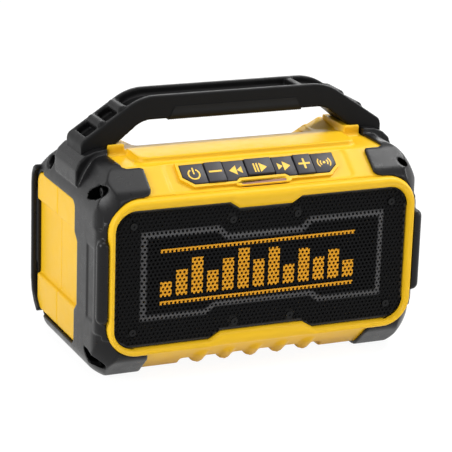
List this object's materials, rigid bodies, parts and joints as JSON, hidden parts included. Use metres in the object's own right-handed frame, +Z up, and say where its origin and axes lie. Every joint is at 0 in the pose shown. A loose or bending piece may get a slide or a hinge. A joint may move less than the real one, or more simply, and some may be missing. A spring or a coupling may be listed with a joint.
{
  "type": "portable speaker",
  "caption": "Rugged jobsite bluetooth speaker: perforated grille in a moulded housing, key row on a sloping brow, carry handle, rubber end guards and a slide-in battery at the rear.",
  "frame": {"origin": "on the ground below the middle of the speaker", "axes": "+X to the right seen from the front, +Y to the rear, +Z up"},
  "size_m": [0.32, 0.1945, 0.2445],
  "materials": {
    "yellow_shell": "fine moulded grain",
    "guard_rubber": "matt",
    "handle_plastic": "satin",
    "grip_rubber": "ribbed",
    "grille_metal": "black powder coat",
    "screw_steel": "zinc",
    "black_cloth": "woven",
    "black_plastic": "moulded",
    "key_rubber": "silicone",
    "cover_rubber": "soft",
    "light_window": "translucent",
    "circuit_board": "solder mask",
    "basket_metal": "pressed sheet",
    "ferrite": "sintered",
    "yoke_steel": "zinc",
    "surround_rubber": "soft",
    "spider_fabric": "impregnated",
    "cone_paper": "pressed pulp",
    "coil_copper": "enamelled",
    "sink_metal": "extruded",
    "capacitor_can": "sleeved",
    "contact_brass": "plated",
    "cell_can": "sleeved",
    "latch_plastic": "moulded"
  },
  "bodies": {
    "speaker_body": {"front_housing": "yellow_shell", "rear_housing": "yellow_shell", "keypad_panel": "yellow_shell", "left_end_guard": "guard_rubber", "right_end_guard": "guard_rubber", "handle_front_shell": "handle_plastic", "handle_rear_shell": "handle_plastic", "handle_grip": "grip_rubber", "grille": "grille_metal", "grille_screws": "grille_metal", "guard_screws": "screw_steel", "handle_screws": "screw_steel", "handle_bolts": "screw_steel", "driver_screws": "screw_steel", "board_screws": "screw_steel", "housing_screws": "screw_steel", "acoustic_cloth": "black_cloth", "baffle": "black_plastic", "key_switches": "black_plastic", "dc_socket": "black_plastic", "aux_socket": "black_plastic", "terminal_block": "black_plastic", "battery_cradle": "black_plastic", "light_bar": "light_window", "key_board": "circuit_board", "main_board": "circuit_board", "left_basket": "basket_metal", "right_basket": "basket_metal", "left_magnet": "ferrite", "right_magnet": "ferrite", "left_yoke": "yoke_steel", "right_yoke": "yoke_steel", "left_surround": "surround_rubber", "right_surround": "surround_rubber", "left_spider": "spider_fabric", "right_spider": "spider_fabric", "heat_sink": "sink_metal", "capacitors": "capacitor_can", "terminal_blades": "contact_brass"},
    "power_button": {"power_key": "key_rubber"},
    "volume_down_button": {"volume_down_key": "key_rubber"},
    "previous_button": {"previous_key": "key_rubber"},
    "play_button": {"play_key": "key_rubber"},
    "next_button": {"next_key": "key_rubber"},
    "volume_up_button": {"volume_up_key": "key_rubber"},
    "pairing_button": {"pairing_key": "key_rubber"},
    "left_diaphragm": {"left_cone": "cone_paper", "left_voice_coil": "coil_copper"},
    "right_diaphragm": {"right_cone": "cone_paper", "right_voice_coil": "coil_copper"},
    "rear_port_flap": {"port_cover": "cover_rubber"},
    "battery_pack": {"pack_rail_case": "black_plastic", "pack_cell_case": "yellow_shell", "pack_cells": "cell_can", "pack_contacts": "contact_brass", "pack_latch_spring": "screw_steel"},
    "battery_latch": {"pack_latch": "latch_plastic"}
  },
  "joints": [
    {"name": "power_press", "type": "slide", "parent": "speaker_body", "child": "power_button", "axis": [0, 0.601, -0.7993], "range_m": [0, 0.001], "stiffness_N_per_m": 600},
    {"name": "volume_down_press", "type": "slide", "parent": "speaker_body", "child": "volume_down_button", "axis": [0, 0.601, -0.7993], "range_m": [0, 0.001], "stiffness_N_per_m": 600},
    {"name": "previous_press", "type": "slide", "parent": "speaker_body", "child": "previous_button", "axis": [0, 0.601, -0.7993], "range_m": [0, 0.001], "stiffness_N_per_m": 600},
    {"name": "play_press", "type": "slide", "parent": "speaker_body", "child": "play_button", "axis": [0, 0.601, -0.7993], "range_m": [0, 0.001], "stiffness_N_per_m": 600},
    {"name": "next_press", "type": "slide", "parent": "speaker_body", "child": "next_button", "axis": [0, 0.601, -0.7993], "range_m": [0, 0.001], "stiffness_N_per_m": 600},
    {"name": "volume_up_press", "type": "slide", "parent": "speaker_body", "child": "volume_up_button", "axis": [0, 0.601, -0.7993], "range_m": [0, 0.001], "stiffness_N_per_m": 600},
    {"name": "pairing_press", "type": "slide", "parent": "speaker_body", "child": "pairing_button", "axis": [0, 0.601, -0.7993], "range_m": [0, 0.001], "stiffness_N_per_m": 600},
    {"name": "left_cone_stroke", "type": "slide", "parent": "speaker_body", "child": "left_diaphragm", "axis": [0, -1, 0], "range_m": [-0.0015, 0.0015], "stiffness_N_per_m": 1500, "deforming": ["left_surround", "left_spider"]},
    {"name": "right_cone_stroke", "type": "slide", "parent": "speaker_body", "child": "right_diaphragm", "axis": [0, -1, 0], "range_m": [-0.0015, 0.0015], "stiffness_N_per_m": 1500, "deforming": ["right_surround", "right_spider"]},
    {"name": "port_cover_hinge", "type": "hinge", "parent": "speaker_body", "child": "rear_port_flap", "pos_m": [0.114, 0.092, 0.082], "axis": [-1, 0, 0], "range_deg": [0, 110]},
    {"name": "battery_slide", "type": "slide", "parent": "speaker_body", "child": "battery_pack", "axis": [0, 0, 1], "range_m": [0, 0.14]},
    {"name": "latch_press", "type": "slide", "parent": "battery_pack", "child": "battery_latch", "axis": [0, 1, 0], "range_m": [0, 0.003], "stiffness_N_per_m": 900, "deforming": ["pack_latch_spring"]}
  ]
}
